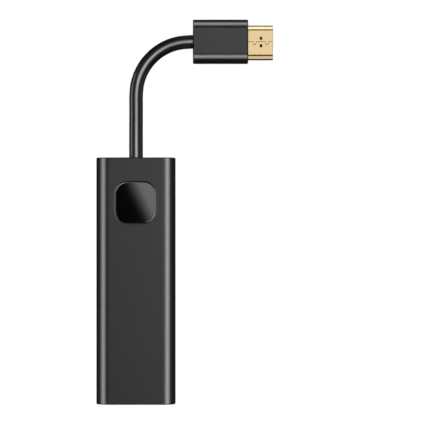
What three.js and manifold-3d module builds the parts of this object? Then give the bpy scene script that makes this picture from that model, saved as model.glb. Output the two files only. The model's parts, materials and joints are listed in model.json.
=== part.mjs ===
// Streaming media player: a slim casing whose captive video lead ends in a plug.
//
// Millimetres. The casing lies on its rear face, with its front face up: +Z is out of the
// front face, +Y is towards the lead, and the origin is the middle of the casing's rear face.

import * as THREE from 'three';
import { mergeVertices } from 'three/addons/utils/BufferGeometryUtils.js';
import Module from 'manifold-3d';

// ---- Driving dimensions ----------------------------------------------------------------

const CASE = { width: 31.7, length: 98.8, depth: 14, fillet: 5.2, endFillet: 0.45, wall: 1.8 };
const PARTING = 7; // height of the joint between the two covers
const LIP = { thick: 0.7, high: 1.2, gap: 0.3 }; // the rear cover's lip in the front cover's rabbet
const CATCH = { length: 6, high: 0.5, out: 0.4, z: 7.6, play: 0.2, ys: [-36, 0, 36] };
const RIB = { width: 13, thick: 0.6, y: 43.4 }; // the ribs that hold the lead's tail, above and below

const WINDOW = { width: 16.3, length: 16.4, corner: 4.8, y: 31.4, thick: 0.75, below: 0.1 };
const WINDOW_GAP = 0.2; // round the window plate
const ADHESIVE = 0.15;
const APERTURE = { size: 12.4, corner: 2.5 }; // through the front wall, under the window

const LABEL = { width: 22, length: 30, corner: 1.5, y: 24, thick: 0.15, recess: 0.2, gap: 0.2 };
const VENT = { width: 15, high: 1.3, count: 8, pitch: 3.6, firstY: -34 };

const BOARD = { width: 25.6, low: 4.6, top: 5.6, minY: -47.2, maxY: 36 };
const BOARD_SCREWS = [[-10.5, -22], [10.5, 16]];
const STANDOFFS = [[10.5, -31], [-10.5, 16]];
const RADIUS = { boss: 2.1, standoff: 1.5, clampPost: 1.7, spreaderPost: 1.2, boardHole: 1.1 };
const SCREW = { shank: 0.65, hole: 0.95, head: 1.6, headHigh: 0.9, length: 2.6 };
const CROSS = { length: 2, width: 0.4, deep: 0.45 }; // the recess in a screw's head

const BUTTON = { length: 5, high: 1.8, y: -18, z: 7, gap: 0.25, sunk: 0.1, flange: 0.8 };
const BUTTON_FLANGE = { past: 0.8, halfHigh: 1.3 }; // how far the flange reaches round the cap
const SWITCH = { back: 8.2, front: 11.8, top: 8.2, halfLength: 2.4 };
const POCKET = { back: 10, halfLength: 1.25, low: 6.25, high: 7.75 }; // in the switch, for its stem
const STEM = { halfLength: 1, low: 6.5, high: 7.5, inside: 1.2, play: 0.1 };

const LEAD = { radius: 2.75, hole: 3.05, exitZ: 7 };
const GROMMET = { width: 10, high: 8.8, from: 44, to: 47.3, corner: 1.5 };
const TAIL = { radius: 2.2, from: 37.6, to: 43.7 };
const CLAMP = { width: 15, length: 3.4, thick: 0.8, y: 40.6, z: 9.3, screwX: 5.4 };

const PLUG = { from: 22.84, to: 45, width: 17.7, high: 11, fillet: 4.4, endFillet: 0.4 };
const PLUG_Y = 96;
const PLUG_Z = PLUG.high / 2;
const PLUG_WALL = 1;
const MOULD_PLAY = 0.15; // between the plug's inner moulding and its housing
const SLEEVE_END = 1.4; // thickness of the plug housing's rear wall
const SHELL_Y = 95.6; // the metal shell sits a little off the housing's middle
const SHELL = { from: 36.3, to: 54.97, thick: 0.3, corner: 0.55, side: 6.95, half: 2.225 };
const BEVEL = { shoulder: 0.65, top: 5.15 }; // the shell's two upper corners are cut off
const LATCH = { x: 50.15, y: 1.5, off: 0.2, length: 0.95, width: 1.2, deep: 0.45 };
const INSERT = { from: 37, to: 54.4, slotFrom: 46, slotWidth: 11.2, slotHalf: 1.2, play: 0.1 };
const CONTACT = { width: 0.45, thick: 0.25, from: 46.4, to: 53.8, pitch: 1 };

const GAP = 0.3; // between pieces that meet but aren't joined
const SINK = 0.5; // how far a post or rib is sunk into the wall that it stands on
const SMOOTH = 8; // steps in a quarter of a fillet

// The lead's middle line, from inside the casing's end wall to inside the plug's rear wall.
const LEAD_ROUTE = [
  [0, 47.6, 7], [0, 51, 7], [0, 54, 7], [0, 57, 6.95], [0, 60, 6.8], [0, 63.5, 6.55],
  [0, 67, 6.2], [0, 70.7, 5.85], [0, 74.4, 5.5], [0.65, 79.8, 5.1], [2.8, 85.2, 4.9],
  [6.25, 89.7, 4.85], [10.75, 93.15, 4.95], [16, 95.25, 5.2], [21.6, 95.95, 5.45],
  [24.1, 96, 5.5],
];
const LEAD_STEPS = 16;

// The power socket at the end away from the lead: its metal shell, and the tongue inside it.
const SOCKET = { front: -49.1, back: -44.3, z: 6.95, thick: 0.25, halfWidth: 3.75, halfHigh: 1.325 };
const SOCKET_CORNER = { x: 2.7, shoulder: -0.3, round: 0.25 }; // the shell's two lower corners are cut off
const SOCKET_OPENING = { width: 8.3, high: 3.4, corner: 1.1 };
const TONGUE = { halfWidth: 1.9, low: 7.0, high: 7.6, sunk: 0.8 };
const TONGUE_BASE = { halfWidth: 2.5, low: 6.1, high: 7.8, thick: 1, play: 0.05 };

// Plain blocks on the board and above it: middle, sizes in X and Y, and heights.
const BLOCKS = {
  soc_chip: { x: 0, y: -2.2, width: 14, length: 14, low: BOARD.top, high: 6.8, finish: 'chip' },
  ram_chip: { x: 0, y: 9.2, width: 13.3, length: 7.5, low: BOARD.top, high: 6.6, finish: 'chip' },
  flash_chip: { x: -0.2, y: -18.5, width: 11.5, length: 13, low: BOARD.top, high: 6.6, finish: 'chip' },
  power_chip: { x: 5.5, y: -30.5, width: 5, length: 5, low: BOARD.top, high: 6.5, finish: 'chip' },
  crystal: { x: 9.4, y: -24.8, width: 3.2, length: 2.5, low: BOARD.top, high: 6.4, finish: 'tinned' },
  wifi_board: { x: -5, y: -34, width: 12, length: 12, low: BOARD.top, high: 6.3, finish: 'moduleBoard' },
  chip_pad: { x: 0, y: -2.2, width: 12, length: 12, low: 6.8, high: 7.9, finish: 'thermalPad' },
  spreader_pad: { x: 0, y: 0, width: 18, length: 18, low: 8.2, high: 9.6, finish: 'thermalPad' },
  heat_spreader: { x: 0, y: -5, width: 23, length: 50, low: 9.6, high: 10.8, finish: 'aluminium' },
  status_led: { x: 3.8, y: 27.4, width: 1.6, length: 0.8, low: BOARD.top, high: 6.3, finish: 'led' },
  antenna: { x: -13.5, y: -33, width: 0.3, length: 18, low: 5.4, high: 8.6, finish: 'flex' },
};
const SPREADER_POSTS = [[-8, 18], [8, 18], [-8, -28], [8, -28]];
const WIFI_CAN = { x: -5, y: -34, width: 11, length: 11, low: 6.3, high: 7.9 };
const SHIELD_CAN = { x: 0, y: 2, width: 21, length: 24, low: BOARD.top, high: 8.2 };
const CAN_THICK = 0.3;
const INDUCTORS = [[5, -37], [10, -37]];
const INDUCTOR = { size: 4, corner: 0.8, high: 2 };
const RECEIVER = { x: -3.5, y: 26.6, width: 5.6, length: 4.2, top: 9.6, lens: 1.9 };

// The lead's header on the board, a tray open towards the lead, and the connector that enters it.
const HEADER = { halfWidth: 6.5, from: 30, to: 33, high: 9.6, wall: 0.8, back: 31, low: 6.4 };
const CONNECTOR = { halfWidth: 6.2, from: 33.3, to: 37.3, low: 5.9, high: 9.4 };
const NOSE = { halfWidth: 5.4, from: 31.4, to: 33.5, low: 6.7, high: 8.5 };

// ---- Finishes --------------------------------------------------------------------------

const FINISHES = {
  casePlastic: [0x3c3c3d, 0.45, 0],
  gloss: [0x050506, 0.06, 0],
  button: [0x2c2c2d, 0.5, 0],
  paper: [0x202022, 0.7, 0],
  adhesive: [0x1a1a1a, 0.9, 0],
  board: [0x0f3d22, 0.45, 0],
  moduleBoard: [0x123a5e, 0.45, 0],
  chip: [0x17171a, 0.55, 0],
  ferrite: [0x3a3a3c, 0.7, 0.2],
  tinned: [0xb9bbbf, 0.35, 0.9],
  aluminium: [0xc4c7ca, 0.4, 0.9],
  thermalPad: [0x8c9cb4, 0.9, 0],
  steel: [0x9a9ca0, 0.35, 0.9],
  nylon: [0xe8e4d8, 0.5, 0],
  flex: [0x9a6a26, 0.5, 0.1],
  lens: [0x1a1014, 0.1, 0],
  led: [0xf2efe0, 0.3, 0],
  leadJacket: [0x2a2a2b, 0.42, 0],
  mould: [0x1b1b1c, 0.6, 0],
  gold: [0xd9b878, 0.28, 1],
  insert: [0x101012, 0.5, 0],
};

/** Makes a new material for one sub-part. */
function material(finish) {
  const [color, roughness, metalness] = FINISHES[finish];
  return new THREE.MeshStandardMaterial({ color, roughness, metalness });
}

// ---- Solids: three.js geometries, joined and cut -----------------------------------------

const wasm = await Module();
wasm.setup();

/** Turns a closed geometry into a solid that can be joined and cut. */
function solid(geometry) {
  const bare = geometry.index ? geometry.clone() : geometry;
  for (const name of ['normal', 'uv']) bare.deleteAttribute(name);
  const merged = mergeVertices(bare, 1e-4);
  const corners = merged.index.array;
  const kept = [];
  for (let i = 0; i < corners.length; i += 3) {
    const [a, b, c] = corners.slice(i, i + 3);
    if (a !== b && b !== c && c !== a) kept.push(a, b, c);
  }
  return new wasm.Manifold(new wasm.Mesh({
    numProp: 3,
    vertProperties: new Float32Array(merged.attributes.position.array),
    triVerts: new Uint32Array(kept),
  }));
}

/** Turns a solid back into a geometry. */
function geometryOf(shape) {
  const mesh = shape.getMesh();
  const geometry = new THREE.BufferGeometry();
  geometry.setAttribute('position', new THREE.BufferAttribute(mesh.vertProperties, 3));
  geometry.setIndex(new THREE.BufferAttribute(mesh.triVerts, 1));
  geometry.computeVertexNormals();
  return geometry;
}

/** A solid box between two corners. */
function block([x0, y0, z0], [x1, y1, z1]) {
  const geometry = new THREE.BoxGeometry(x1 - x0, y1 - y0, z1 - z0);
  return solid(geometry.translate((x0 + x1) / 2, (y0 + y1) / 2, (z0 + z1) / 2));
}

/** A solid box by its middle in X and Y, its sizes, and its height from z0 to z1. */
function slab(x, y, width, length, z0, z1) {
  return block([x - width / 2, y - length / 2, z0], [x + width / 2, y + length / 2, z1]);
}

/** A solid cylinder standing along Z. */
function post(x, y, radius, z0, z1, sides = 24) {
  const geometry = new THREE.CylinderGeometry(radius, radius, z1 - z0, sides);
  return solid(geometry.rotateX(Math.PI / 2).translate(x, y, (z0 + z1) / 2));
}

/** A solid cylinder lying along Y. */
function rod(x, z, radius, y0, y1, sides = 24) {
  const geometry = new THREE.CylinderGeometry(radius, radius, y1 - y0, sides);
  return solid(geometry.translate(x, (y0 + y1) / 2, z));
}

/** A rectangle with round corners, about its own middle. */
function roundedRectangle(width, high, radius) {
  const x = width / 2 - radius;
  const y = high / 2 - radius;
  const shape = new THREE.Shape();
  shape.absarc(x, y, radius, 0, Math.PI / 2);
  shape.absarc(-x, y, radius, Math.PI / 2, Math.PI);
  shape.absarc(-x, -y, radius, Math.PI, Math.PI * 1.5);
  shape.absarc(x, -y, radius, Math.PI * 1.5, Math.PI * 2);
  return shape;
}

/** A convex outline, given anticlockwise, with its corners rounded. */
function roundedOutline(points, radius) {
  const shape = new THREE.Shape();
  points.forEach((point, i) => {
    const corner = new THREE.Vector2(...point);
    const before = new THREE.Vector2(...points.at(i - 1)).sub(corner).setLength(radius).add(corner);
    const next = new THREE.Vector2(...points[(i + 1) % points.length]);
    const after = next.sub(corner).setLength(radius).add(corner);
    if (i === 0) shape.moveTo(before.x, before.y);
    else shape.lineTo(before.x, before.y);
    shape.quadraticCurveTo(corner.x, corner.y, after.x, after.y);
  });
  shape.closePath();
  return shape;
}

/** Extrudes an outline along Z from 0, with an optional round edge at both ends. */
function extruded(shape, length, edge = 0, steps = SMOOTH) {
  return new THREE.ExtrudeGeometry(shape, {
    depth: length - 2 * edge,
    curveSegments: steps,
    bevelEnabled: edge > 0,
    bevelThickness: edge,
    bevelSize: edge,
    bevelOffset: -edge,
    bevelSegments: 2,
  }).translate(0, 0, edge);
}

/** A prism along Z, its outline in X and Y. */
function prismZ(shape, x, y, z0, z1, steps) {
  return solid(extruded(shape, z1 - z0, 0, steps).translate(x, y, z0));
}

/** A prism along Y, its outline in X and Z. */
function prismY(shape, z, y0, y1, edge) {
  return solid(extruded(shape, y1 - y0, edge).rotateX(Math.PI / 2).translate(0, y1, z));
}

/** A prism along X, its outline in Y and Z. */
function prismX(shape, y, z, x0, x1, edge, steps) {
  const geometry = extruded(shape, x1 - x0, edge, steps);
  return solid(geometry.rotateX(Math.PI / 2).rotateZ(Math.PI / 2).translate(x0, y, z));
}

/** Joins several solids into one. */
function joined(...shapes) {
  return shapes.reduce((whole, shape) => whole.add(shape));
}

/** Cuts several solids out of one. */
function cut(shape, ...tools) {
  return tools.reduce((rest, tool) => rest.subtract(tool), shape);
}

// ---- The assembly ------------------------------------------------------------------------

const player = new THREE.Group();

/** Adds a named sub-part to a group. */
function addPart(group, name, shape, finish) {
  const geometry = shape instanceof THREE.BufferGeometry ? shape : geometryOf(shape);
  const mesh = new THREE.Mesh(geometry, material(finish));
  mesh.name = name;
  group.add(mesh);
}

// ---- Casing: front and rear covers -------------------------------------------------------

const halfWidth = CASE.width / 2;
const halfLength = CASE.length / 2;
const roomX = halfWidth - CASE.wall; // the hollow's half width
const roomY = halfLength - CASE.wall; // and half length
const roomTop = CASE.depth - CASE.wall;
const cordCut = rod(0, LEAD.exitZ, LEAD.hole, roomY - 1, halfLength + 1, 32);

/** The whole casing's outside. */
function casingOutside() {
  const section = roundedRectangle(CASE.width, CASE.depth, CASE.fillet);
  return prismY(section, CASE.depth / 2, -halfLength, halfLength, CASE.endFillet);
}

/** The hollow inside the casing. */
function casingHollow() {
  const radius = CASE.fillet - CASE.wall;
  const section = roundedRectangle(2 * roomX, CASE.depth - 2 * CASE.wall, radius);
  return prismY(section, CASE.depth / 2, -roomY, roomY);
}

/** A box that reaches a distance past the hollow's sides and ends. */
function aroundHollow(past, z0, z1) {
  return slab(0, 0, 2 * (roomX + past), 2 * (roomY + past), z0, z1);
}

/** A box that is wider and longer than the casing, between two heights. */
function halfSpace(z0, z1) {
  return slab(0, 0, CASE.width + 2, CASE.length + 2, z0, z1);
}

/** The catches on the lip, or the pockets that they snap into. */
function catches(play) {
  const root = roomX + LIP.thick - GAP;
  const tip = roomX + LIP.thick + CATCH.out + play;
  const low = CATCH.z - play;
  const high = CATCH.z + CATCH.high + play;
  return [-1, 1].flatMap((side) => CATCH.ys.map((y) => slab(
    side * (root + tip) / 2, y, tip - root, CATCH.length + 2 * play, low, high)));
}

/** The openings that both covers share: side button, power socket and lead. */
function sharedOpenings() {
  const { length, high, y, z, gap } = BUTTON;
  const side = roundedRectangle(length + 2 * gap, high + 2 * gap, high / 2);
  const button = prismX(side, y, z, roomX - 1, halfWidth + 1, 0, 4);
  const { width, high: tall, corner } = SOCKET_OPENING;
  const power = prismY(roundedRectangle(width, tall, corner), SOCKET.z, -halfLength - 1, 1 - roomY);
  return [button, power, cordCut];
}

/** The front cover: top half of the casing, with the window's recess and aperture. */
function frontCover() {
  const top = casingOutside().intersect(halfSpace(PARTING, CASE.depth + 1));
  const rabbet = aroundHollow(LIP.thick + LIP.gap, PARTING - 1, PARTING + LIP.high + LIP.gap);
  const gap = 2 * WINDOW_GAP;
  const outline = roundedRectangle(WINDOW.width + gap, WINDOW.length + gap, WINDOW.corner);
  const floor = CASE.depth - WINDOW.below - WINDOW.thick - ADHESIVE;
  const recess = prismZ(outline, 0, WINDOW.y, floor, CASE.depth + 1);
  const { size, corner } = APERTURE;
  const aperture = prismZ(roundedRectangle(size, size, corner), 0, WINDOW.y, roomTop - 1, CASE.depth + 1);
  const hollow = cut(top, casingHollow(), rabbet, ...catches(CATCH.play));
  const ribLow = LEAD.exitZ + TAIL.radius + GAP;
  const tailRib = slab(0, RIB.y, RIB.width, RIB.thick, ribLow, roomTop + SINK);
  const postLow = BLOCKS.heat_spreader.high + GAP;
  const spreaderPosts = SPREADER_POSTS.map(
    ([x, y]) => post(x, y, RADIUS.spreaderPost, postLow, roomTop + SINK, 16));
  return cut(joined(hollow, tailRib, ...spreaderPosts), recess, aperture, ...sharedOpenings());
}

/** The slots in the rear wall that let warm air out. */
function vents() {
  const outline = roundedRectangle(VENT.width, VENT.high, VENT.high / 2 - 0.01);
  return Array.from({ length: VENT.count }, (_, i) => prismZ(
    outline, 0, VENT.firstY + i * VENT.pitch, -1, CASE.wall + 1, 4));
}

/** The rear cover: bottom half of the casing, with bosses, vents and the label's recess. */
function rearCover() {
  const bottom = casingOutside().intersect(halfSpace(-1, PARTING));
  const lip = aroundHollow(LIP.thick, PARTING - 1, PARTING + LIP.high);
  const clips = catches(0);
  const tray = cut(joined(bottom, lip, ...clips), casingHollow(),
    aroundHollow(0, PARTING - 0.5, PARTING + LIP.high + 1));
  const floor = CASE.wall - SINK;
  const bosses = BOARD_SCREWS.map(([x, y]) => post(x, y, RADIUS.boss, floor, BOARD.low));
  const feet = STANDOFFS.map(([x, y]) => post(x, y, RADIUS.standoff, floor, BOARD.low));
  const clampPosts = [-1, 1].map((side) => post(
    side * CLAMP.screwX, CLAMP.y, RADIUS.clampPost, floor, CLAMP.z));
  const seatTop = LEAD.exitZ - TAIL.radius - GAP;
  const tailSeat = slab(0, RIB.y, RIB.width, RIB.thick, floor, seatTop);
  const holes = BOARD_SCREWS.map(([x, y]) => post(x, y, SCREW.hole, CASE.wall, BOARD.low + 1, 16));
  const clampHoles = [-1, 1].map((side) => post(
    side * CLAMP.screwX, CLAMP.y, SCREW.hole, CLAMP.z - 4, CLAMP.z + 1, 16));
  const label = roundedRectangle(
    LABEL.width + 2 * LABEL.gap, LABEL.length + 2 * LABEL.gap, LABEL.corner + LABEL.gap);
  const recess = prismZ(label, 0, LABEL.y, -1, LABEL.recess, 4);
  const solidRear = joined(tray, ...bosses, ...feet, ...clampPosts, tailSeat);
  return cut(solidRear, ...holes, ...clampHoles, recess, ...vents(), ...sharedOpenings());
}

/** The window's plate, a rounded square of gloss plastic. */
function frontWindow() {
  const outline = roundedRectangle(WINDOW.width, WINDOW.length, WINDOW.corner);
  const top = CASE.depth - WINDOW.below;
  return prismZ(outline, 0, WINDOW.y, top - WINDOW.thick, top);
}

/** The frame of adhesive that holds the window's plate. */
function windowAdhesive() {
  const inset = 0.2;
  const outer = roundedRectangle(
    WINDOW.width - 2 * inset, WINDOW.length - 2 * inset, WINDOW.corner - inset);
  const low = CASE.depth - WINDOW.below - WINDOW.thick - ADHESIVE;
  const opening = APERTURE.size + 2 * inset;
  const inner = roundedRectangle(opening, opening, APERTURE.corner + inset);
  const hole = prismZ(inner, 0, WINDOW.y, low - 1, low + 1);
  return cut(prismZ(outer, 0, WINDOW.y, low, low + ADHESIVE), hole);
}

/** The blank rating label in the rear cover's recess. */
function ratingLabel() {
  const outline = roundedRectangle(LABEL.width, LABEL.length, LABEL.corner);
  return prismZ(outline, 0, LABEL.y, LABEL.recess - LABEL.thick, LABEL.recess, 4);
}

const casing = new THREE.Group();
player.add(casing);
addPart(casing, 'front_cover', frontCover(), 'casePlastic');
addPart(casing, 'rear_cover', rearCover(), 'casePlastic');
addPart(casing, 'front_window', frontWindow(), 'gloss');
addPart(casing, 'window_adhesive', windowAdhesive(), 'adhesive');
addPart(casing, 'rating_label', ratingLabel(), 'paper');

// ---- Side button and its switch ----------------------------------------------------------

/** The side button: a cap in the wall's opening and a wider flange behind the wall. */
function resetButton() {
  const { length, high, y, z, sunk, flange } = BUTTON;
  const flangeOuter = roomX - GAP;
  const capOutline = roundedRectangle(length, high, high / 2 - 0.05);
  const cap = prismX(capOutline, y, z, flangeOuter - flange / 2, halfWidth - sunk, 0, 4);
  const { past, halfHigh } = BUTTON_FLANGE;
  const back = block(
    [flangeOuter - flange, y - length / 2 - past, z - halfHigh],
    [flangeOuter, y + length / 2 + past, z + halfHigh]);
  return joined(cap, back);
}

/** The switch's body on the board's edge, with the pocket that its stem slides in. */
function switchBody() {
  const body = block(
    [SWITCH.back, BUTTON.y - SWITCH.halfLength, BOARD.top],
    [SWITCH.front, BUTTON.y + SWITCH.halfLength, SWITCH.top]);
  const pocket = block(
    [POCKET.back, BUTTON.y - POCKET.halfLength, POCKET.low],
    [SWITCH.front + 1, BUTTON.y + POCKET.halfLength, POCKET.high]);
  return cut(body, pocket);
}

/** The switch's stem, which the side button pushes. */
function switchStem() {
  const tip = roomX - GAP - BUTTON.flange - STEM.play;
  return block(
    [SWITCH.front - STEM.inside, BUTTON.y - STEM.halfLength, STEM.low],
    [tip, BUTTON.y + STEM.halfLength, STEM.high]);
}

const control = new THREE.Group();
player.add(control);
addPart(control, 'reset_button', resetButton(), 'button');
addPart(control, 'switch_body', switchBody(), 'chip');
addPart(control, 'switch_stem', switchStem(), 'nylon');

// ---- Electronics -------------------------------------------------------------------------

const electronics = new THREE.Group();
player.add(electronics);

/** The main board with its two screw holes. */
function mainBoard() {
  const middle = (BOARD.minY + BOARD.maxY) / 2;
  const plate = slab(0, middle, BOARD.width, BOARD.maxY - BOARD.minY, BOARD.low, BOARD.top);
  return cut(plate, ...BOARD_SCREWS.map(
    ([x, y]) => post(x, y, RADIUS.boardHole, BOARD.low - 1, BOARD.top + 1, 16)));
}

/** A plain block, from its row of sizes. */
function plainBlock({ x, y, width, length, low, high }) {
  return slab(x, y, width, length, low, high);
}

/** A folded metal can, open underneath. */
function openCan(can) {
  const inside = { ...can, low: can.low - 1, high: can.high - CAN_THICK };
  inside.width -= 2 * CAN_THICK;
  inside.length -= 2 * CAN_THICK;
  return cut(plainBlock(can), plainBlock(inside));
}

/** A pan-head screw with a cross recess, its head's underside at z. */
function screw(x, y, z) {
  const shank = post(x, y, SCREW.shank, z - SCREW.length, z + 0.2, 16);
  const head = post(x, y, SCREW.head, z, z + SCREW.headHigh, 20);
  const top = z + SCREW.headHigh;
  const sizes = [[CROSS.length, CROSS.width], [CROSS.width, CROSS.length]];
  const slots = sizes.map(([width, length]) => slab(x, y, width, length, top - CROSS.deep, top + 1));
  return cut(joined(shank, head), ...slots);
}

/** A power inductor: a square block with its corners cut off. */
function inductor(x, y) {
  const outline = roundedRectangle(INDUCTOR.size, INDUCTOR.size, INDUCTOR.corner);
  return prismZ(outline, x, y, BOARD.top, BOARD.top + INDUCTOR.high, 1);
}

/** The infrared receiver: an epoxy block with a domed lens on top. */
function infraredReceiver() {
  const { x, y, width, length, top, lens } = RECEIVER;
  const dome = new THREE.SphereGeometry(lens, 16, 10).translate(x, y, top);
  return joined(slab(x, y, width, length, BOARD.top, top), solid(dome));
}

/** The power socket's metal shell, seen end on as a box with two cut corners. */
function socketOutline(inset) {
  const x = SOCKET.halfWidth - inset;
  const high = SOCKET.halfHigh - inset;
  const cutX = SOCKET_CORNER.x - 0.5 * inset;
  const { shoulder, round } = SOCKET_CORNER;
  const corners = [[-cutX, -high], [cutX, -high], [x, shoulder], [x, high], [-x, high], [-x, shoulder]];
  return roundedOutline(corners, round);
}

/** The power socket's shell, open at its mouth. */
function powerSocketShell() {
  const outside = prismY(socketOutline(0), SOCKET.z, SOCKET.front, SOCKET.back);
  const { front, back, z, thick } = SOCKET;
  return cut(outside, prismY(socketOutline(thick), z, front - 1, back - 2 * thick));
}

/** The power socket's plastic tongue, on a block at the back of the shell. */
function powerSocketTongue() {
  const { halfWidth: baseX, thick, play } = TONGUE_BASE;
  const backWall = SOCKET.back - 2 * SOCKET.thick - play;
  const base = block([-baseX, backWall - thick, TONGUE_BASE.low], [baseX, backWall, TONGUE_BASE.high]);
  const front = SOCKET.front + TONGUE.sunk;
  const tongue = block([-TONGUE.halfWidth, front, TONGUE.low], [TONGUE.halfWidth, backWall, TONGUE.high]);
  return joined(base, tongue);
}

addPart(electronics, 'main_board', mainBoard(), 'board');
Object.entries(BLOCKS).forEach(([name, row]) => {
  addPart(electronics, name, plainBlock(row), row.finish);
});
INDUCTORS.forEach(([x, y], i) => {
  addPart(electronics, `inductor_${i + 1}`, inductor(x, y), 'ferrite');
});
addPart(electronics, 'wifi_can', openCan(WIFI_CAN), 'tinned');
addPart(electronics, 'shield_can', openCan(SHIELD_CAN), 'tinned');
addPart(electronics, 'power_socket_shell', powerSocketShell(), 'steel');
addPart(electronics, 'power_socket_tongue', powerSocketTongue(), 'insert');
addPart(electronics, 'ir_receiver', infraredReceiver(), 'lens');
BOARD_SCREWS.forEach(([x, y], i) => {
  addPart(electronics, `board_screw_${i + 1}`, screw(x, y, BOARD.top), 'steel');
});

// ---- Lead entry inside the casing --------------------------------------------------------

const entry = new THREE.Group();
player.add(entry);

/** The lead's moulded collar, trapped between the two covers. */
function cableGrommet() {
  const outline = roundedRectangle(GROMMET.width, GROMMET.high, GROMMET.corner);
  return prismY(outline, LEAD.exitZ, GROMMET.from, GROMMET.to);
}

/** The bar that holds the lead's tail down on the rear cover's posts. */
function cableClamp() {
  const bar = slab(0, CLAMP.y, CLAMP.width, CLAMP.length, CLAMP.z, CLAMP.z + CLAMP.thick);
  return cut(bar, ...[-1, 1].map((side) => post(
    side * CLAMP.screwX, CLAMP.y, SCREW.hole, CLAMP.z - 1, CLAMP.z + CLAMP.thick + 1, 16)));
}

/** The header on the board, a tray that is open towards the lead. */
function leadHeader() {
  const { halfWidth, from, to, high, wall, back, low } = HEADER;
  const inner = halfWidth - wall;
  const tray = block([-halfWidth, from, BOARD.top], [halfWidth, to, high]);
  return cut(tray, block([-inner, back, low], [inner, to + 1, high - wall]));
}

/** The connector on the lead's tail, with the nose that enters the header. */
function leadConnector() {
  return joined(...[CONNECTOR, NOSE].map(({ halfWidth, from, to, low, high }) => block(
    [-halfWidth, from, low], [halfWidth, to, high])));
}

addPart(entry, 'lead_header', leadHeader(), 'nylon');
addPart(entry, 'lead_connector', leadConnector(), 'nylon');
addPart(entry, 'lead_tail', rod(0, LEAD.exitZ, TAIL.radius, TAIL.from, TAIL.to), 'leadJacket');
addPart(entry, 'cable_grommet', cableGrommet(), 'mould');
addPart(entry, 'cable_clamp', cableClamp(), 'steel');
[-1, 1].forEach((side, i) => {
  const place = screw(side * CLAMP.screwX, CLAMP.y, CLAMP.z + CLAMP.thick);
  addPart(entry, `clamp_screw_${i + 1}`, place, 'steel');
});

// ---- Lead and plug -----------------------------------------------------------------------

const lead = new THREE.Group();
player.add(lead);

/** The lead itself, a tube along its route. */
function leadTube() {
  const route = new THREE.CatmullRomCurve3(LEAD_ROUTE.map((p) => new THREE.Vector3(...p)));
  const section = new THREE.Shape();
  section.absarc(0, 0, LEAD.radius, 0, Math.PI * 2);
  return solid(new THREE.ExtrudeGeometry(section, {
    steps: LEAD_STEPS,
    extrudePath: route,
    curveSegments: 6,
  }));
}

/** The plug's housing: a sleeve that is open at the front, with the lead's hole at the back. */
function plugHousing() {
  const outline = roundedRectangle(PLUG.width, PLUG.high, PLUG.fillet);
  const outside = prismX(outline, PLUG_Y, PLUG_Z, PLUG.from, PLUG.to, PLUG.endFillet);
  const inner = roundedRectangle(
    PLUG.width - 2 * PLUG_WALL, PLUG.high - 2 * PLUG_WALL, PLUG.fillet - PLUG_WALL);
  const hollow = prismX(inner, PLUG_Y, PLUG_Z, PLUG.from + SLEEVE_END, PLUG.to + 1);
  const hole = new THREE.CylinderGeometry(LEAD.hole, LEAD.hole, 6, 32).rotateZ(Math.PI / 2);
  return cut(outside, hollow, solid(hole.translate(PLUG.from, PLUG_Y, PLUG_Z)));
}

/** The metal shell's outline, seen along the plug: a rectangle with two bevelled corners. */
function shellOutline(inset) {
  const side = SHELL.side - inset;
  const high = SHELL.half - inset;
  const shoulder = BEVEL.shoulder - 0.44 * inset;
  const top = BEVEL.top - 0.39 * inset;
  const corners = [[-side, -high], [side, -high], [side, shoulder], [top, high], [-top, high],
    [-side, shoulder]];
  return roundedOutline(corners, SHELL.corner);
}

/** The moulding inside the housing, which grips the lead and the metal shell. */
function plugInnerMould() {
  const play = PLUG_WALL + MOULD_PLAY;
  const outline = roundedRectangle(
    PLUG.width - 2 * play, PLUG.high - 2 * play, PLUG.fillet - play);
  const start = PLUG.from + SLEEVE_END + MOULD_PLAY;
  const body = prismX(outline, PLUG_Y, PLUG_Z, start, PLUG.to);
  return cut(body, prismX(shellOutline(-MOULD_PLAY), SHELL_Y, PLUG_Z, SHELL.from - GAP, PLUG.to + 1));
}

/** The plug's metal shell, with the two small windows that a socket's springs catch. */
function plugShell() {
  const tube = cut(
    prismX(shellOutline(0), SHELL_Y, PLUG_Z, SHELL.from, SHELL.to),
    prismX(shellOutline(SHELL.thick), SHELL_Y, PLUG_Z, SHELL.from - 1, SHELL.to + 1));
  const top = PLUG_Z + SHELL.half;
  const { x, y, off, length, width, deep } = LATCH;
  const windows = [-1, 1].map(
    (side) => slab(x, SHELL_Y + off + side * y, length, width, top - deep, top + 1));
  return cut(tube, ...windows);
}

/** The plastic insert in the shell, with the slot that a socket's tongue enters. */
function plugInsert() {
  const body = prismX(shellOutline(SHELL.thick + INSERT.play), SHELL_Y, PLUG_Z, INSERT.from, INSERT.to);
  const { slotWidth, slotHalf, slotFrom } = INSERT;
  const slot = block(
    [slotFrom, SHELL_Y - slotWidth / 2, PLUG_Z - slotHalf],
    [INSERT.to + 1, SHELL_Y + slotWidth / 2, PLUG_Z + slotHalf]);
  return cut(body, slot);
}

/** One contact strip on the slot's upper (side 1) or lower (side -1) wall. */
function contact(y, side) {
  const wall = PLUG_Z + side * INSERT.slotHalf;
  const inner = wall - side * CONTACT.thick;
  const half = CONTACT.width / 2;
  return block(
    [CONTACT.from, y - half, Math.min(wall, inner)], [CONTACT.to, y + half, Math.max(wall, inner)]);
}

addPart(lead, 'lead', leadTube(), 'leadJacket');
addPart(lead, 'plug_housing', plugHousing(), 'casePlastic');
addPart(lead, 'plug_inner_mould', plugInnerMould(), 'mould');
addPart(lead, 'plug_shell', plugShell(), 'gold');
addPart(lead, 'plug_insert', plugInsert(), 'insert');
[['upper', 10, 1], ['lower', 9, -1]].forEach(([row, count, side]) => {
  for (let i = 0; i < count; i += 1) {
    const y = SHELL_Y + (i - (count - 1) / 2) * CONTACT.pitch;
    addPart(lead, `contact_${row}_${String(i + 1).padStart(2, '0')}`, contact(y, side), 'gold');
  }
});

export default player;
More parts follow.
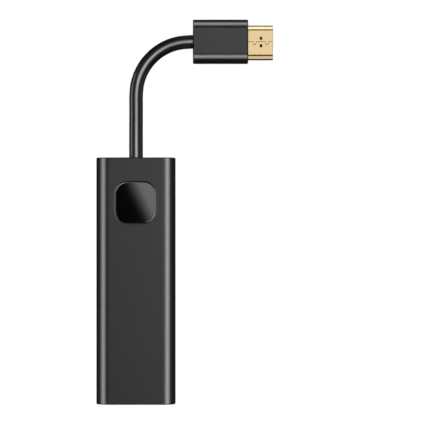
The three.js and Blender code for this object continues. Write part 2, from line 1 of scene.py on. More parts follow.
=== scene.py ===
"""The looks of a streaming media player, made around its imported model.

The player is a slim casing with a gloss window, a side button and a power socket, a short
captive video lead, and the lead's plug. Every piece is in metres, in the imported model's
frame: +Z is out of the casing's front face, +Y is towards the lead, and the origin is the
middle of the casing's rear face. Shapes are worked out in millimetres and scaled at the end.
"""

from __future__ import annotations

import json  # noqa: E402
import logging  # noqa: E402
import math  # noqa: E402
from dataclasses import dataclass, field  # noqa: E402
from enum import Enum  # noqa: E402
from typing import Callable, Iterable, Sequence  # noqa: E402

import bmesh  # noqa: E402
import bpy  # noqa: E402
from mathutils import Matrix, Vector  # noqa: E402

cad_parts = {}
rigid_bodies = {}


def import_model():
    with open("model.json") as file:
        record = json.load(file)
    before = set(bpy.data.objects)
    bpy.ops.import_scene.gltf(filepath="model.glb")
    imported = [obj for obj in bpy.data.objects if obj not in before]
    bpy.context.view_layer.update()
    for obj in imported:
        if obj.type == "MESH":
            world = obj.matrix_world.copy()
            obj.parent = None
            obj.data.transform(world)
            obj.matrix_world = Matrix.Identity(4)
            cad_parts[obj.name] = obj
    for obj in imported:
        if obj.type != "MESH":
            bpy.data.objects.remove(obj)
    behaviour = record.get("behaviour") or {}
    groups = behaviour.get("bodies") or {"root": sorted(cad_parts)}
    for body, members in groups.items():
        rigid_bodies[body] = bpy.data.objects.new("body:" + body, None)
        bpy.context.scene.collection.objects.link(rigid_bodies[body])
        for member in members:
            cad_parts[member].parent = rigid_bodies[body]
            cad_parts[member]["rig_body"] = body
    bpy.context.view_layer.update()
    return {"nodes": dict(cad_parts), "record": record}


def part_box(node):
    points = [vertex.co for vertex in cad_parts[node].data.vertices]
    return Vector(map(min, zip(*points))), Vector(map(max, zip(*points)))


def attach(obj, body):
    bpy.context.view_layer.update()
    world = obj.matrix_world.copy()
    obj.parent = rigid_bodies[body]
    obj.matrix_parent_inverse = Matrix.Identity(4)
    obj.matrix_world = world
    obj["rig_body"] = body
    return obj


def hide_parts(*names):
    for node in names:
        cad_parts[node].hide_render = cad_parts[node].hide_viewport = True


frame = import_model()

LOG = logging.getLogger("media_player")
MM = 0.001
QUARTER = math.pi / 2
LEAST_RADIUS = 0.01  # the least radius that a drawn-in corner keeps, in millimetres
PAST = 1.0  # how far a cutter goes on past what it cuts, in millimetres
LINE_SHARE = 0.02  # a drawn line's scale along its run, as a share of the scale across it
COAT_ROUGHNESS = 0.05
CASING = "casing"  # the body that everything but the side button and its switch rides on

Pair = tuple[float, float]
Triple = tuple[float, float, float]
Outline = Callable[[float], list[Pair]]


# ---- Shapes ---------------------------------------------------------------------------


class Run(Enum):
    """The direction in which an outline is swept."""

    X = "x"
    Y = "y"
    Z = "z"

    def place(self, u: float, v: float, along: float) -> Vector:
        """Puts an outline's point (u, v) at a station along the sweep.

        Args:
            u: The outline's first coordinate.
            v: The outline's second coordinate.
            along: The station along the sweep.

        Returns:
            The point in space.
        """
        if self is Run.X:
            return Vector((along, u, v))
        if self is Run.Y:
            return Vector((u, along, v))
        return Vector((u, v, along))


def rounded_rectangle(width: float, high: float, radius: float, steps: int = 16) -> Outline:
    """A rectangle with round corners.

    Args:
        width: Its size along the first coordinate.
        high: Its size along the second coordinate.
        radius: Its corners' radius.
        steps: The steps in each corner.

    Returns:
        A function from an outward offset to the outline's points, anticlockwise.
    """

    def outline(offset: float) -> list[Pair]:
        """The rectangle's points.

        Args:
            offset: How far the outline is drawn out.

        Returns:
            The points, anticlockwise.
        """
        r = max(radius + offset, LEAST_RADIUS)
        x, y = width / 2 + offset - r, high / 2 + offset - r
        points = []
        for turn, (cx, cy) in enumerate(((x, y), (-x, y), (-x, -y), (x, -y))):
            for i in range(steps + 1):
                angle = (turn + i / steps) * QUARTER
                points.append((cx + r * math.cos(angle), cy + r * math.sin(angle)))
        return points

    return outline


def circle(radius: float, steps: int = 48) -> Outline:
    """A circle, as a function from an outward offset to its points.

    Args:
        radius: The circle's radius.
        steps: The steps in the whole circle.

    Returns:
        A function from an outward offset to the circle's points.
    """

    def outline(offset: float) -> list[Pair]:
        """The circle's points, drawn out by an offset."""
        turns = [math.tau * i / steps for i in range(steps)]
        return [((radius + offset) * math.cos(a), (radius + offset) * math.sin(a)) for a in turns]

    return outline


def rounded_polygon(corners: Sequence[Pair], starts: Sequence[float], steps: int = 6) -> Outline:
    """A convex polygon with round corners.

    Args:
        corners: The polygon's corners, anticlockwise.
        starts: For each corner, the distance from it at which its rounding starts.
        steps: The steps in each corner.

    Returns:
        A function from an outward offset to the outline's points.
    """

    def moved(offset: float) -> list[Vector]:
        """The polygon's corners, with every side moved outwards.

        Args:
            offset: How far the sides move.

        Returns:
            The corners where the moved sides meet.
        """
        lines = []
        for i, corner in enumerate(corners):
            a, b = Vector(corner), Vector(corners[(i + 1) % len(corners)])
            along = (b - a).normalized()
            lines.append((a + Vector((along.y, -along.x)) * offset, along))
        points = []
        for i, (point, along) in enumerate(lines):
            before, heading = lines[i - 1]
            cross = heading.x * along.y - heading.y * along.x
            gap = point - before
            points.append(before + heading * ((gap.x * along.y - gap.y * along.x) / cross))
        return points

    def outline(offset: float) -> list[Pair]:
        """The polygon's points, with its corners rounded.

        Args:
            offset: How far the outline is drawn out.

        Returns:
            The points, anticlockwise.
        """
        points = moved(offset)
        made = []
        for i, corner in enumerate(points):
            size = max(starts[i] + 0.5 * offset, 2 * LEAST_RADIUS)
            start = corner + (points[i - 1] - corner).normalized() * size
            end = corner + (points[(i + 1) % len(points)] - corner).normalized() * size
            for k in range(steps + 1):
                t = k / steps
                p = start * (1 - t) ** 2 + corner * 2 * t * (1 - t) + end * t * t
                made.append((p.x, p.y))
        return made

    return outline


def round_end(high: float, inset: float, run: float, steps: int = 6) -> list[Pair]:
    """The rounded end of a sweep's profile.

    Args:
        high: The last station.
        inset: How far the outline draws in there.
        run: How long the rounding is along the sweep.
        steps: The steps in the rounding.

    Returns:
        (offset, station) for each ring.
    """
    turns = [QUARTER * i / steps for i in range(steps + 1)]
    return [(-inset * (1 - math.cos(a)), high - run * (1 - math.sin(a))) for a in turns]


def edge_profile(low: float, high: float, inset: float, run: float, steps: int = 6) -> list[Pair]:
    """A sweep's profile with both ends rounded.

    Args:
        low: The first station.
        high: The last station.
        inset: How far the outline draws in at the ends.
        run: How long the rounding is along the sweep.
        steps: The steps in each rounding.

    Returns:
        (offset, station) for each ring.
    """
    turns = [QUARTER * i / steps for i in range(steps + 1)]
    start = [(-inset * (1 - math.sin(a)), low + run * (1 - math.cos(a))) for a in turns]
    return start + round_end(high, inset, run, steps)


def flared(low: float, top: float, radius: float, past: float, steps: int = 5) -> list[Pair]:
    """A cutter's profile that leaves a round edge at a surface.

    Args:
        low: The station of the cut's floor.
        top: The station of the surface.
        radius: The round edge's radius.
        past: How far the cutter goes on past the surface; negative cuts downwards.
        steps: The steps in the rounding.

    Returns:
        (offset, station) for each ring.
    """
    way = 1 if past > 0 else -1
    turns = [QUARTER * i / steps for i in range(steps + 1)]
    lip = [(radius * (1 - math.cos(a)), top - way * radius * (1 - math.sin(a))) for a in turns]
    return [(0.0, low), *lip, (radius, top + past)]


# ---- Workpieces -----------------------------------------------------------------------


class Workpiece:
    """A closed mesh in millimetres that is cut, joined and then finished as a piece."""

    def __init__(self, mesh: bmesh.types.BMesh) -> None:
        """Takes over a bmesh and turns its faces outwards.

        Args:
            mesh: The closed mesh, in millimetres.
        """
        bmesh.ops.recalc_face_normals(mesh, faces=mesh.faces)
        data = bpy.data.meshes.new("workpiece")
        mesh.to_mesh(data)
        mesh.free()
        self.obj = bpy.data.objects.new("workpiece", data)
        bpy.context.scene.collection.objects.link(self.obj)

    @classmethod
    def from_rings(cls, rings: Sequence[Sequence[Vector]], closed: bool = False) -> Workpiece:
        """Makes a mesh through rings of points, capped at both ends or closed on itself.

        Args:
            rings: The rings, each with the same number of points.
            closed: Whether the last ring joins the first.

        Returns:
            The new workpiece.
        """
        mesh = bmesh.new()
        rows = [[mesh.verts.new(p) for p in ring] for ring in rings]
        pairs = list(zip(rows, rows[1:]))
        if closed:
            pairs.append((rows[-1], rows[0]))
        for low, high in pairs:
            for i in range(len(low)):
                j = (i + 1) % len(low)
                mesh.faces.new((low[i], low[j], high[j], high[i]))
        if not closed:
            mesh.faces.new(rows[0])
            mesh.faces.new(rows[-1])
        return cls(mesh)

    @classmethod
    def swept(
        cls,
        outline: Outline,
        profile: Sequence[Pair],
        run: Run,
        centre: Pair = (0.0, 0.0),
        closed: bool = False,
    ) -> Workpiece:
        """Sweeps an outline along an axis, drawn in or out at each station.

        Args:
            outline: The outline, by offset.
            profile: (offset, station) for each ring.
            run: The direction of the sweep.
            centre: The outline's middle.
            closed: Whether the profile closes on itself, which makes a tube with walls.

        Returns:
            The new workpiece.
        """
        rings = [
            [run.place(u + centre[0], v + centre[1], station) for u, v in outline(offset)]
            for offset, station in profile
        ]
        return cls.from_rings(rings, closed)

    @classmethod
    def slab(cls, low: Triple, high: Triple, soft: float = 0.0) -> Workpiece:
        """Makes a rectangular block, with its edges eased if soft is above 0.

        Args:
            low: The lowest corner.
            high: The highest corner.
            soft: How much the edges are eased.

        Returns:
            The new workpiece.
        """
        mesh = bmesh.new()
        bmesh.ops.create_cube(mesh, size=1.0)
        size = Vector(high) - Vector(low)
        middle = (Vector(high) + Vector(low)) / 2
        for vert in mesh.verts:
            vert.co = Vector(c * s for c, s in zip(vert.co, size)) + middle
        if soft > 0:
            bmesh.ops.bevel(
                mesh, geom=mesh.edges[:], offset=soft, segments=2, profile=0.5, affect="EDGES"
            )
        return cls(mesh)

    @classmethod
    def post(cls, centre: Pair, radius: float, low: float, high: float) -> Workpiece:
        """Makes a round post standing along Z."""
        return cls.swept(circle(radius), [(0, low), (0, high)], Run.Z, centre)

    def _apply(self, tools: Iterable[Workpiece], operation: str) -> Workpiece:
        """Joins or cuts with other workpieces, which are used up.

        Args:
            tools: The other workpieces.
            operation: The boolean modifier's operation.

        Returns:
            This workpiece.
        """
        for tool in tools:
            modifier = self.obj.modifiers.new("work", "BOOLEAN")
            modifier.operation = operation
            modifier.solver = "EXACT"
            modifier.object = tool.obj
            depsgraph = bpy.context.evaluated_depsgraph_get()
            made = bpy.data.meshes.new_from_object(self.obj.evaluated_get(depsgraph))
            self.obj.modifiers.clear()
            used, self.obj.data = self.obj.data, made
            bpy.data.meshes.remove(used)
            tool.discard()
        return self

    def cut(self, *tools: Workpiece) -> Workpiece:
        """Cuts the tools out of this workpiece."""
        return self._apply(tools, "DIFFERENCE")

    def join(self, *tools: Workpiece) -> Workpiece:
        """Joins the tools to this workpiece."""
        return self._apply(tools, "UNION")

    def keep(self, tool: Workpiece) -> Workpiece:
        """Keeps only what is inside the tool."""
        return self._apply([tool], "INTERSECT")

    def discard(self) -> None:
        """Removes the workpiece and its mesh."""
        data = self.obj.data
        bpy.data.objects.remove(self.obj)
        bpy.data.meshes.remove(data)

    def finish(self, name: str, node: str, finish: Finish, finishes: Finishes) -> bpy.types.Object:
        """Makes the workpiece a piece of the player that stands for a node.

        Args:
            name: The piece's name.
            node: The node that it stands for.
            finish: Its finish.
            finishes: The player's finishes.

        Returns:
            The finished piece.
        """
        piece = self.obj
        piece.name = name
        piece.data.name = name
        piece.data.transform(Matrix.Scale(MM, 4))
        tidy = bmesh.new()
        tidy.from_mesh(piece.data)
        bmesh.ops.remove_doubles(tidy, verts=tidy.verts, dist=2e-7)
        bmesh.ops.dissolve_degenerate(tidy, edges=tidy.edges, dist=1e-7)
        tidy.to_mesh(piece.data)
        tidy.free()
        shade(piece)
        dress(piece, finishes.of(finish))
        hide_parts(node)
        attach(piece, body_of_node(node))
        LOG.info("%s: %d faces, stands for %s", name, len(piece.data.polygons), node)
        return piece


def shade(piece: bpy.types.Object, angle: float = 32.0) -> None:
    """Shades a piece smoothly except at its real edges.

    Args:
        piece: The piece.
        angle: The least angle of a real edge, in degrees.
    """
    piece.data.shade_smooth()
    piece.data.set_sharp_from_angle(angle=math.radians(angle))
    weighted = piece.modifiers.new("weighted_normals", "WEIGHTED_NORMAL")
    weighted.mode = "FACE_AREA"
    weighted.weight = 100
    weighted.keep_sharp = True


def dress(piece: bpy.types.Object, finish: bpy.types.Material) -> None:
    """Gives a piece one material in place of any that it has."""
    piece.data.materials.clear()
    piece.data.materials.append(finish)


def body_of_node(node: str) -> str:
    """The body that a node moves with."""
    return frame["nodes"][node]["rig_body"]


def box_mm(node: str) -> tuple[Vector, Vector]:
    """A node's lowest and highest corners, in millimetres."""
    low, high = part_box(node)
    return low / MM, high / MM


def middle_mm(node: str) -> Vector:
    """A node's middle, in millimetres."""
    low, high = box_mm(node)
    return (low + high) / 2


# ---- Shared surface effects -----------------------------------------------------------


class Wiring:
    """The nodes of one shader tree, and the links between them."""

    def __init__(self, tree: bpy.types.NodeTree) -> None:
        """Takes over a tree."""
        self.tree = tree

    def add(self, kind: str, values: dict | None = None, **settings: object) -> bpy.types.Node:
        """Adds a node.

        Args:
            kind: The node's type.
            values: The values of its inputs, by name or number.
            settings: Its other properties, which are set first.

        Returns:
            The new node.
        """
        made = self.tree.nodes.new(kind)
        for key, value in settings.items():
            setattr(made, key, value)
        for socket, value in (values or {}).items():
            made.inputs[socket].default_value = value
        return made

    def link(self, source: bpy.types.NodeSocket, target: bpy.types.NodeSocket) -> None:
        """Links two sockets."""
        self.tree.links.new(source, target)

    def drift(
        self, noise: bpy.types.Node, first: Triple, second: Triple, shader: bpy.types.Node
    ) -> None:
        """Makes a shader's base colour drift between two colours.

        Args:
            noise: The noise that says where.
            first: The one colour, linear.
            second: The other colour, linear.
            shader: The shader that takes the colour.
        """
        mixed = self.add("ShaderNodeMix", {6: (*first, 1), 7: (*second, 1)}, data_type="RGBA")
        self.link(noise.outputs["Fac"], mixed.inputs[0])
        self.link(mixed.outputs[2], shader.inputs["Base Color"])


class Effect(Wiring):
    """A shader node group that several materials place with their own values."""

    def __init__(self, name: str, inputs: dict[str, float]) -> None:
        """Makes the group, with its inputs and the outputs Height and Gloss.

        Args:
            name: The group's name.
            inputs: Each input's name and usual value.
        """
        super().__init__(bpy.data.node_groups.new(name, "ShaderNodeTree"))
        sockets = self.tree.interface
        for label, value in inputs.items():
            socket = sockets.new_socket(label, in_out="INPUT", socket_type="NodeSocketFloat")
            socket.default_value = value
        for label in ("Height", "Gloss"):
            sockets.new_socket(label, in_out="OUTPUT", socket_type="NodeSocketFloat")
        self.entry = self.add("NodeGroupInput")
        self.exit = self.add("NodeGroupOutput")

    def gloss(self, mask: bpy.types.NodeSocket) -> None:
        """Puts a mask out as Gloss, centred on 0 and scaled by the group's Gloss Range.

        Args:
            mask: The mask, from 0 to 1.
        """
        centred = self.add("ShaderNodeMath", {1: 0.5}, operation="SUBTRACT")
        self.link(mask, centred.inputs[0])
        ranged = self.add("ShaderNodeMath", operation="MULTIPLY")
        self.link(centred.outputs[0], ranged.inputs[0])
        self.link(self.entry.outputs["Gloss Range"], ranged.inputs[1])
        self.link(ranged.outputs[0], self.exit.inputs["Gloss"])


def mould_grain_effect() -> bpy.types.NodeTree:
    """The fine spark-eroded grain of a moulded surface, with slow changes of gloss.

    Returns:
        A group with Height for a bump and Gloss, about 0, to add to a roughness.
    """
    effect = Effect("mould_grain", {"Scale": 3000.0, "Gloss Range": 0.04})
    place = effect.add("ShaderNodeTexCoord")
    grain = effect.add("ShaderNodeTexNoise", {"Detail": 3.0, "Roughness": 0.6})
    effect.link(place.outputs["Object"], grain.inputs["Vector"])
    effect.link(effect.entry.outputs["Scale"], grain.inputs["Scale"])
    effect.link(grain.outputs["Fac"], effect.exit.inputs["Height"])
    slow = effect.add("ShaderNodeTexNoise", {"Scale": 55.0, "Detail": 2.0})
    effect.link(place.outputs["Object"], slow.inputs["Vector"])
    effect.gloss(slow.outputs["Fac"])
    return effect.tree


def drawn_lines_effect() -> bpy.types.NodeTree:
    """Fine lines that run one way, as rolled and drawn metal has.

    Returns:
        A group with Height for a bump and Gloss, about 0, to add to a roughness.
    """
    inputs = {"Across X": 900.0, "Across Y": 900.0, "Across Z": 900.0, "Gloss Range": 0.08}
    effect = Effect("drawn_lines", inputs)
    place = effect.add("ShaderNodeTexCoord")
    split = effect.add("ShaderNodeSeparateXYZ")
    effect.link(place.outputs["Object"], split.inputs[0])
    joined = effect.add("ShaderNodeCombineXYZ")
    for axis in "XYZ":
        scaled = effect.add("ShaderNodeMath", operation="MULTIPLY")
        effect.link(split.outputs[axis], scaled.inputs[0])
        effect.link(effect.entry.outputs[f"Across {axis}"], scaled.inputs[1])
        effect.link(scaled.outputs[0], joined.inputs[axis])
    lines = effect.add("ShaderNodeTexNoise", {"Scale": 1.0, "Detail": 3.0})
    effect.link(joined.outputs[0], lines.inputs["Vector"])
    effect.link(lines.outputs["Fac"], effect.exit.inputs["Height"])
    effect.gloss(lines.outputs["Fac"])
    return effect.tree


class Texture(Enum):
    """The shared effect that gives a finish its fine surface."""

    GRAIN = "grain"
    DRAWN = "drawn"


# ---- Finishes -------------------------------------------------------------------------


@dataclass(frozen=True)
class Finish:
    """One material of the player, as a maker would specify it.

    Attributes:
        slot: The record's material slot.
        colour: The base colour, linear.
        second: A second colour that the first drifts towards in patches.
        roughness: The mean roughness.
        metallic: 1 for bare metal.
        texture: The shared effect for the fine surface.
        scale: The grain's scale, or the lines' scale across their run.
        depth_um: The fine surface's depth, in micrometres.
        gloss_range: How much the roughness changes over the surface.
        coat: The weight of a clear coat.
        run: The direction of drawn lines.
        specular: The specular level, 0.5 for ordinary plastics.
    """

    slot: str
    colour: Triple
    second: Triple
    roughness: float
    metallic: float = 0.0
    texture: Texture = Texture.GRAIN
    scale: float = 3000.0
    depth_um: float = 4.0
    gloss_range: float = 0.05
    coat: float = 0.0
    run: Run = Run.Y
    specular: float = 0.5

    def build(self, effects: dict[Texture, bpy.types.NodeTree]) -> bpy.types.Material:
        """Builds the material.

        Args:
            effects: The shared effects.

        Returns:
            The new material.
        """
        made = bpy.data.materials.new(self.slot)
        made.use_nodes = True
        wiring = Wiring(made.node_tree)
        shader = made.node_tree.nodes["Principled BSDF"]
        shader.inputs["Metallic"].default_value = self.metallic
        shader.inputs["Coat Weight"].default_value = self.coat
        shader.inputs["Coat Roughness"].default_value = COAT_ROUGHNESS
        shader.inputs["Specular IOR Level"].default_value = self.specular
        values = {"Gloss Range": self.gloss_range}
        if self.texture is Texture.GRAIN:
            values["Scale"] = self.scale
        else:
            for axis in Run:
                share = LINE_SHARE if axis is self.run else 1.0
                values[f"Across {axis.name}"] = self.scale * share
        group = wiring.add("ShaderNodeGroup", values, node_tree=effects[self.texture])
        place = wiring.add("ShaderNodeTexCoord")
        patches = wiring.add("ShaderNodeTexNoise", {"Scale": 90.0, "Detail": 3.0})
        wiring.link(place.outputs["Object"], patches.inputs["Vector"])
        wiring.drift(patches, self.colour, self.second, shader)
        gloss = wiring.add("ShaderNodeMath", {1: self.roughness}, operation="ADD")
        wiring.link(group.outputs["Gloss"], gloss.inputs[0])
        wiring.link(gloss.outputs[0], shader.inputs["Roughness"])
        bump = wiring.add("ShaderNodeBump", {"Strength": 1.0, "Distance": self.depth_um * 1e-6})
        wiring.link(group.outputs["Height"], bump.inputs["Height"])
        wiring.link(bump.outputs["Normal"], shader.inputs["Normal"])
        return made


CASE_PLASTIC = Finish(
    "case_plastic", (0.0022, 0.0022, 0.0023), (0.003, 0.003, 0.0031), 0.3, depth_um=0.8,
    gloss_range=0.03,
)
GLOSS_WINDOW = Finish(
    "gloss_window", (0.0001, 0.0001, 0.0001), (0.0003, 0.0003, 0.0003), 0.022, scale=700,
    depth_um=0.002, gloss_range=0.003,
)
ADHESIVE = Finish("adhesive", (0.01, 0.01, 0.01), (0.016, 0.016, 0.016), 0.9, depth_um=30)
LABEL = Finish(
    "label", (0.02, 0.02, 0.021), (0.026, 0.026, 0.027), 0.55, scale=5000, depth_um=2,
)
BUTTON_PLASTIC = Finish(
    "button_plastic", (0.012, 0.012, 0.012), (0.016, 0.016, 0.016), 0.42, scale=4000, depth_um=2,
)
COMPONENT = Finish(
    "component_black", (0.01, 0.01, 0.011), (0.017, 0.017, 0.018), 0.55, scale=6000, depth_um=5,
)
BOARD = Finish(
    "circuit_board", (0.006, 0.055, 0.018), (0.01, 0.085, 0.03), 0.35, scale=1200, depth_um=3,
    coat=0.4,
)
MODULE_BOARD = Finish(
    "module_board", (0.006, 0.03, 0.11), (0.01, 0.045, 0.15), 0.35, scale=1200, depth_um=3,
    coat=0.4,
)
FERRITE = Finish("ferrite", (0.05, 0.05, 0.052), (0.08, 0.08, 0.082), 0.7, scale=5000, depth_um=8)
TINNED = Finish(
    "tinned_can", (0.6, 0.61, 0.63), (0.68, 0.69, 0.7), 0.3, 1.0, Texture.DRAWN, 9000, 1.0, 0.1,
)
THERMAL_PAD = Finish(
    "thermal_pad", (0.22, 0.29, 0.4), (0.27, 0.34, 0.45), 0.85, scale=2500, depth_um=20,
)
ALUMINIUM = Finish(
    "aluminium", (0.68, 0.69, 0.7), (0.75, 0.76, 0.77), 0.32, 1.0, Texture.DRAWN, 7000, 2.0, 0.1,
)
SOCKET_STEEL = Finish(
    "socket_steel", (0.5, 0.5, 0.52), (0.58, 0.58, 0.6), 0.28, 1.0, Texture.DRAWN, 12000, 1.0, 0.08,
)
SCREW_STEEL = Finish(
    "screw_steel", (0.46, 0.47, 0.49), (0.54, 0.55, 0.57), 0.33, 1.0, scale=9000, depth_um=2,
)
NYLON = Finish(
    "connector_nylon", (0.7, 0.67, 0.58), (0.76, 0.73, 0.65), 0.45, scale=4000, depth_um=3,
)
FLEX = Finish("flex_circuit", (0.33, 0.14, 0.025), (0.4, 0.18, 0.04), 0.4, scale=1500, depth_um=3)
DARK_LENS = Finish(
    "dark_lens", (0.012, 0.004, 0.007), (0.018, 0.006, 0.01), 0.1, scale=500, depth_um=0.1,
    gloss_range=0.02,
)
LED_LENS = Finish("led_lens", (0.8, 0.76, 0.6), (0.85, 0.82, 0.7), 0.25, scale=3000, depth_um=1)
LEAD_JACKET = Finish(
    "lead_jacket", (0.0022, 0.0022, 0.0023), (0.003, 0.003, 0.0031), 0.33, scale=2600, depth_um=0.6,
    gloss_range=0.03,
)
GROMMET = Finish("grommet_rubber", (0.012, 0.012, 0.012), (0.018, 0.018, 0.018), 0.6, depth_um=6)
PLUG_MOULD = Finish("plug_mould", (0.008, 0.008, 0.0085), (0.012, 0.012, 0.0125), 0.5, depth_um=5)
INSERT = Finish(
    "insert_plastic", (0.002, 0.002, 0.002), (0.004, 0.004, 0.004), 0.6, depth_um=4, specular=0.05,
)
GOLD = Finish(
    "gold_plate", (0.9, 0.66, 0.36), (0.95, 0.72, 0.41), 0.22, 1.0, Texture.DRAWN, 9000, 0.25, 0.03,
    run=Run.X,
)

ALL_FINISHES = (
    CASE_PLASTIC, GLOSS_WINDOW, ADHESIVE, LABEL, BUTTON_PLASTIC, COMPONENT, BOARD, MODULE_BOARD,
    FERRITE, TINNED, THERMAL_PAD, ALUMINIUM, SOCKET_STEEL, SCREW_STEEL, NYLON, FLEX, DARK_LENS,
    LED_LENS, LEAD_JACKET, GROMMET, PLUG_MOULD, INSERT, GOLD,
)


class Finishes:
    """Builds each finish once and hands out its material."""

    def __init__(self) -> None:
        """Builds the shared effects and every finish."""
        effects = {Texture.GRAIN: mould_grain_effect(), Texture.DRAWN: drawn_lines_effect()}
        self._made = {finish.slot: finish.build(effects) for finish in ALL_FINISHES}

    def of(self, finish: Finish) -> bpy.types.Material:
        """The material of a finish."""
        return self._made[finish.slot]

    def dress_nodes(self) -> None:
        """Gives every node that still shows the material of its slot."""
        slots = {part["node"]: part["material_slot"] for part in frame["record"]["subparts"]}
        for name, node in frame["nodes"].items():
            if not node.hide_render:
                shade(node)
                dress(node, self._made[slots[name]])
                LOG.info("%s: shown as packed, %s", name, slots[name])


# ---- Casing ---------------------------------------------------------------------------


@dataclass
class Casing:
    """The two covers, the window, the label and the side button.

    Attributes:
        finishes: The player's finishes.
        fillet: The radius of the casing's long edges.
        end_inset: How far the outline draws in at the casing's ends.
        end_run: The length of that rounding.
        wall: The covers' thickness.
        groove: (width, depth) of the line where the covers meet.
        window_corner: The window plate's corner radius.
        window_gap: The gap round the window plate.
        window_edge: The radius of the window plate's own edge.
        window_ease: How much the plate's rear edge is eased.
        recess_edge: The radius of the edge of the window's recess.
        lip: The thickness of the rear cover's lip, inside the front cover.
        lip_high: The lip's height over the line where the covers meet.
        lip_gap: The gap round the lip.
        lip_root: How far the lip and the space within it start below where the covers meet.
        aperture: (size, corner radius) of the opening behind the window.
        button_hole: (length, height, corner radius) of the side button's opening.
        socket_hole: (width, height, corner radius) of the power socket's opening.
        lead_hole: The radius of the lead's opening.
        hole_edges: The radii of these three openings' round edges, in that order.
        board_post: The radius of the posts that the board is screwed to.
        clamp_post: The radius of the posts that the cable clamp is screwed to.
        screw_hole: The radius of the hole in those posts.
        clamp_hole: The depth of the holes for the clamp's screws.
        post_root: How far the posts reach into the cover's wall.
        rest_post: The radius of the posts that the board only rests on.
        rests: The places of those posts.
        label_corner: The label's corner radius.
        label_gap: The gap round the label.
        label_deep: The depth of the label's recess.
        label_edge: The radius of that recess's edge.
        vent: (length, width, corner radius) of a vent.
        vent_mouth: (height at which a vent starts to widen, radius of its edge).
        vents: The number of vents.
        vent_row: (place of the first vent, distance from each to the next).
        cap: (length, height, corner radius) of the side button's cap.
        cap_long: How far the cap reaches inwards from its face.
        cap_edge: The radius of its face's edge.
        flange: (thickness, easing of the edges) of the button's flange.
        low: The casing's lowest corner.
        high: The casing's highest corner.
        parting: The height at which the covers meet.
    """

    finishes: Finishes
    fillet: float = 5.2
    end_inset: float = 0.5
    end_run: float = 0.4
    wall: float = 1.8
    groove: Pair = (0.16, 0.16)
    window_corner: float = 4.9
    window_gap: float = 0.2
    window_edge: float = 0.3
    window_ease: float = 0.1
    recess_edge: float = 0.32
    lip: float = 0.7
    lip_high: float = 1.2
    lip_gap: float = 0.3
    lip_root: Pair = (1.0, 0.5)
    aperture: Pair = (12.4, 2.5)
    button_hole: Triple = (5.5, 2.3, 0.9)
    socket_hole: Triple = (8.3, 3.4, 1.1)
    lead_hole: float = 3.0
    hole_edges: Triple = (0.12, 0.25, 0.2)
    board_post: float = 2.1
    clamp_post: float = 1.7
    screw_hole: float = 0.95
    clamp_hole: float = 4.0
    post_root: float = 0.5
    rest_post: float = 1.5
    rests: tuple[Pair, ...] = ((10.5, -31.0), (-10.5, 16.0))
    label_corner: float = 1.5
    label_gap: float = 0.2
    label_deep: float = 0.2
    label_edge: float = 0.08
    vent: Triple = (15.0, 1.3, 0.64)
    vent_mouth: Pair = (0.9, 0.2)
    vents: int = 8
    vent_row: Pair = (-34.0, 3.6)
    cap: Triple = (5.0, 1.8, 0.85)
    cap_long: float = 2.2
    cap_edge: float = 0.18
    flange: Pair = (0.8, 0.1)
    low: Vector = field(init=False)
    high: Vector = field(init=False)
    parting: float = field(init=False)

    def __post_init__(self) -> None:
        """Takes the casing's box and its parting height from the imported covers."""
        self.low, _ = box_mm("rear_cover")
        cover_low, self.high = box_mm("front_cover")
        self.parting = cover_low.z

    @property
    def depth(self) -> float:
        """The casing's thickness."""
        return self.high.z - self.low.z

    @property
    def width(self) -> float:
        """The casing's width."""
        return self.high.x - self.low.x

    def outside(self) -> Workpiece:
        """The whole casing's outside.

        Returns:
            The solid that the covers are cut from.
        """
        outline = rounded_rectangle(self.width, self.depth, self.fillet, 28)
        profile = edge_profile(self.low.y, self.high.y, self.end_inset, self.end_run)
        return Workpiece.swept(outline, profile, Run.Y, (0, self.depth / 2))

    def hollow(self) -> Workpiece:
        """The space inside the casing.

        Returns:
            The cutter.
        """
        outline = rounded_rectangle(
            self.width - 2 * self.wall, self.depth - 2 * self.wall, self.fillet - self.wall, 12
        )
        profile = [(0, self.low.y + self.wall), (0, self.high.y - self.wall)]
        return Workpiece.swept(outline, profile, Run.Y, (0, self.depth / 2))

    def around_hollow(self, past: float, low: float, high: float) -> Workpiece:
        """A block that reaches a distance past the hollow's sides and ends.

        Args:
            past: The distance past the hollow.
            low: The block's lowest height.
            high: Its highest height.

        Returns:
            The block.
        """
        x, y = self.high.x - self.wall + past, self.high.y - self.wall + past
        return Workpiece.slab((-x, -y, low), (x, y, high))

    def half(self, low: float, high: float) -> Workpiece:
        """A block wider and longer than the casing, between two heights."""
        return Workpiece.slab((-self.width, 2 * self.low.y, low), (self.width, 2 * self.high.y, high))

    def openings(self) -> list[Workpiece]:
        """The openings that both covers share: side button, power socket and lead.

        Returns:
            The cutters.
        """
        button, socket = middle_mm("reset_button"), middle_mm("power_socket_shell")
        side, near, far = self.high.x, self.low.y, self.high.y
        deep = self.wall + PAST
        edges = self.hole_edges
        through_side = flared(side - deep, side, edges[0], PAST)
        through_near = flared(near + deep, near, edges[1], -PAST)
        through_far = flared(far - deep, far, edges[2], PAST)
        slot, mouth = rounded_rectangle(*self.button_hole, 8), rounded_rectangle(*self.socket_hole, 8)
        return [
            Workpiece.swept(slot, through_side, Run.X, (button.y, button.z)),
            Workpiece.swept(mouth, through_near, Run.Y, (0, socket.z)),
            Workpiece.swept(circle(self.lead_hole), through_far, Run.Y, (0, self.parting)),
        ]

    def parting_groove(self) -> Workpiece:
        """The ring that is cut where the covers meet.

        Returns:
            The cutter.
        """
        high, deep = self.groove
        around = self.half(self.parting - high / 2, self.parting + high / 2)
        x, y = self.high.x - deep, self.high.y - deep
        return around.cut(Workpiece.slab((-x, -y, 0), (x, y, self.depth)))

